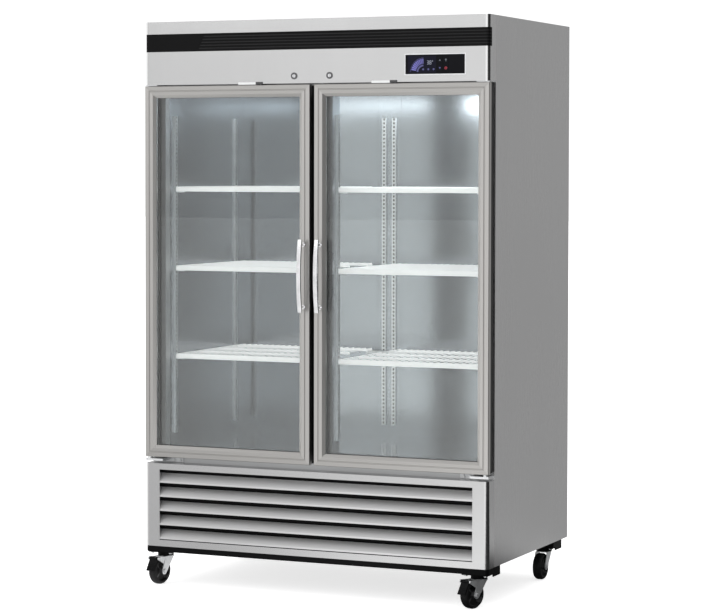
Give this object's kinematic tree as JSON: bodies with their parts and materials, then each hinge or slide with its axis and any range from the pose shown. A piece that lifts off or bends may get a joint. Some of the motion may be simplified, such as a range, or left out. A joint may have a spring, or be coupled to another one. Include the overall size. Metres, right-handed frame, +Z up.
{
  "type": "reach in refrigerator",
  "caption": "Upright two-section reach-in refrigerator with hinged glass doors, wire shelves, louvered machine grille below and braked swivel casters.",
  "frame": {"origin": "on the floor, under the middle of the bounding box at rest", "axes": "+Z up, doors face -Y, +X to the right of a person who faces the doors"},
  "size_m": [1.381, 0.892, 2.108],
  "materials": {
    "stainless_panel": "satin",
    "side_skin": "satin",
    "black_steel": "satin",
    "foam": "matte",
    "black_trim": "gloss",
    "mullion_post": "satin",
    "polished_metal": "polished",
    "switch_plastic": "satin",
    "caster_plastic": "matte",
    "fan_plastic": "matte",
    "electrical_plastic": "matte",
    "coil_aluminium": "satin",
    "copper_tube": "satin",
    "white_wire": "gloss",
    "lamp_cover": "satin",
    "door_aluminium": "satin",
    "door_plastic": "satin",
    "gasket_rubber": "matte",
    "clear_glass": "gloss"
  },
  "bodies": {
    "root": {"side_panel_left": "side_skin", "side_panel_right": "side_skin", "top_panel": "side_skin", "back_panel": "side_skin", "base_frame": "black_steel", "insulation": "foam", "liner": "stainless_panel", "front_frame": "stainless_panel", "mullion": "mullion_post", "canopy": "stainless_panel", "canopy_band": "black_trim", "display_unit": "black_trim", "lock_barrels": "polished_metal", "door_switches": "switch_plastic", "grille_panel": "stainless_panel", "caster_plates": "black_steel", "compressor": "black_steel", "condenser_coil": "coil_aluminium", "condensate_pan": "coil_aluminium", "electrical_box": "electrical_plastic", "evaporator_coil": "coil_aluminium", "evaporator_cover": "stainless_panel", "refrigerant_tubes": "copper_tube", "shelf_standards": "stainless_panel", "shelf_clips": "polished_metal", "shelves_left": "white_wire", "shelves_right": "white_wire", "led_lamps": "lamp_cover", "hinge_brackets": "polished_metal", "fasteners": "polished_metal"},
    "door_left": {"door_frame_left": "door_aluminium", "door_inner_frame_left": "door_plastic", "door_glass_left": "clear_glass", "door_gasket_left": "gasket_rubber", "door_handle_left": "polished_metal"},
    "door_right": {"door_frame_right": "door_aluminium", "door_inner_frame_right": "door_plastic", "door_glass_right": "clear_glass", "door_gasket_right": "gasket_rubber", "door_handle_right": "polished_metal"},
    "caster_swivel_fl": {"caster_fork_fl": "polished_metal"},
    "caster_roller_fl": {"caster_wheel_fl": "caster_plastic"},
    "caster_swivel_fr": {"caster_fork_fr": "polished_metal"},
    "caster_roller_fr": {"caster_wheel_fr": "caster_plastic"},
    "caster_swivel_rl": {"caster_fork_rl": "polished_metal"},
    "caster_roller_rl": {"caster_wheel_rl": "caster_plastic"},
    "caster_swivel_rr": {"caster_fork_rr": "polished_metal"},
    "caster_roller_rr": {"caster_wheel_rr": "caster_plastic"},
    "brake_pedal_fl": {"caster_brake_fl": "caster_plastic"},
    "brake_pedal_fr": {"caster_brake_fr": "caster_plastic"},
    "condenser_fan_rotor": {"condenser_fan": "fan_plastic"},
    "evaporator_fan_rotor": {"evaporator_fan": "fan_plastic"},
    "lock_cam_left": {"lock_plug_left": "polished_metal"},
    "lock_cam_right": {"lock_plug_right": "polished_metal"},
    "plunger_left": {"switch_plunger_left": "switch_plastic"},
    "plunger_right": {"switch_plunger_right": "switch_plastic"},
    "button_up": {"key_up": "black_trim"},
    "button_down": {"key_down": "black_trim"},
    "button_light": {"key_light": "black_trim"},
    "button_power": {"key_power": "black_trim"}
  },
  "joints": [
    {"name": "door_left_swing", "type": "hinge", "parent": "root", "child": "door_left", "pos_m": [-0.6765, -0.389, 0.481], "axis": [0, 0, -1], "range_deg": [0, 120], "stiffness_Nm_per_rad": 1.5, "springref_deg": -20.05},
    {"name": "door_right_swing", "type": "hinge", "parent": "root", "child": "door_right", "pos_m": [0.6765, -0.389, 0.481], "axis": [0, 0, 1], "range_deg": [0, 120], "stiffness_Nm_per_rad": 1.5, "springref_deg": -20.05},
    {"name": "caster_swivel_turn_fl", "type": "hinge", "parent": "root", "child": "caster_swivel_fl", "pos_m": [-0.635, -0.344, 0.106], "axis": [0, 0, 1], "continuous": true},
    {"name": "caster_wheel_spin_fl", "type": "hinge", "parent": "caster_swivel_fl", "child": "caster_roller_fl", "pos_m": [-0.64094, -0.38153, 0.05], "axis": [0.9877, -0.1564, 0], "continuous": true},
    {"name": "brake_pedal_lift_fl", "type": "hinge", "parent": "caster_swivel_fl", "child": "brake_pedal_fl", "pos_m": [-0.64626, -0.41511, 0.1], "axis": [-0.9877, 0.1564, 0], "range_deg": [0, 20]},
    {"name": "caster_swivel_turn_fr", "type": "hinge", "parent": "root", "child": "caster_swivel_fr", "pos_m": [0.635, -0.344, 0.106], "axis": [0, 0, 1], "continuous": true},
    {"name": "caster_wheel_spin_fr", "type": "hinge", "parent": "caster_swivel_fr", "child": "caster_roller_fr", "pos_m": [0.622, -0.37971, 0.05], "axis": [0.9397, -0.342, 0], "continuous": true},
    {"name": "brake_pedal_lift_fr", "type": "hinge", "parent": "caster_swivel_fr", "child": "brake_pedal_fr", "pos_m": [0.61038, -0.41166, 0.1], "axis": [-0.9397, 0.342, 0], "range_deg": [0, 20]},
    {"name": "caster_swivel_turn_rl", "type": "hinge", "parent": "root", "child": "caster_swivel_rl", "pos_m": [-0.635, 0.337, 0.106], "axis": [0, 0, 1], "continuous": true},
    {"name": "caster_wheel_spin_rl", "type": "hinge", "parent": "caster_swivel_rl", "child": "caster_roller_rl", "pos_m": [-0.635, 0.299, 0.05], "axis": [1, 0, 0], "continuous": true},
    {"name": "caster_swivel_turn_rr", "type": "hinge", "parent": "root", "child": "caster_swivel_rr", "pos_m": [0.635, 0.337, 0.106], "axis": [0, 0, 1], "continuous": true},
    {"name": "caster_wheel_spin_rr", "type": "hinge", "parent": "caster_swivel_rr", "child": "caster_roller_rr", "pos_m": [0.635, 0.299, 0.05], "axis": [1, 0, 0], "continuous": true},
    {"name": "condenser_fan_spin", "type": "hinge", "parent": "root", "child": "condenser_fan_rotor", "pos_m": [-0.29, -0.179, 0.295], "axis": [0, 1, 0], "continuous": true},
    {"name": "evaporator_fan_spin", "type": "hinge", "parent": "root", "child": "evaporator_fan_rotor", "pos_m": [0, -0.229, 1.963], "axis": [0, 1, 0], "continuous": true},
    {"name": "lock_left_turn", "type": "hinge", "parent": "root", "child": "lock_cam_left", "pos_m": [-0.071, -0.401, 1.9], "axis": [0, -1, 0], "range_deg": [0, 90]},
    {"name": "lock_right_turn", "type": "hinge", "parent": "root", "child": "lock_cam_right", "pos_m": [0.071, -0.401, 1.9], "axis": [0, 1, 0], "range_deg": [0, 90]},
    {"name": "switch_plunger_slide_left", "type": "slide", "parent": "root", "child": "plunger_left", "axis": [0, 0, -1], "range_m": [0, 0.006]},
    {"name": "switch_plunger_slide_right", "type": "slide", "parent": "root", "child": "plunger_right", "axis": [0, 0, -1], "range_m": [0, 0.006]},
    {"name": "key_press_up", "type": "slide", "parent": "root", "child": "button_up", "axis": [0, 1, 0], "range_m": [0, 0.0006], "stiffness_N_per_m": 600, "springref_m": -0.0005},
    {"name": "key_press_down", "type": "slide", "parent": "root", "child": "button_down", "axis": [0, 1, 0], "range_m": [0, 0.0006], "stiffness_N_per_m": 600, "springref_m": -0.0005},
    {"name": "key_press_light", "type": "slide", "parent": "root", "child": "button_light", "axis": [0, 1, 0], "range_m": [0, 0.0006], "stiffness_N_per_m": 600, "springref_m": -0.0005},
    {"name": "key_press_power", "type": "slide", "parent": "root", "child": "button_power", "axis": [0, 1, 0], "range_m": [0, 0.0006], "stiffness_N_per_m": 600, "springref_m": -0.0005}
  ],
  "couplings": [
    {"joint": "switch_plunger_slide_left", "follows": "door_left_swing", "m_per_rad": 0.0028647},
    {"joint": "switch_plunger_slide_right", "follows": "door_right_swing", "m_per_rad": 0.0028647}
  ]
}
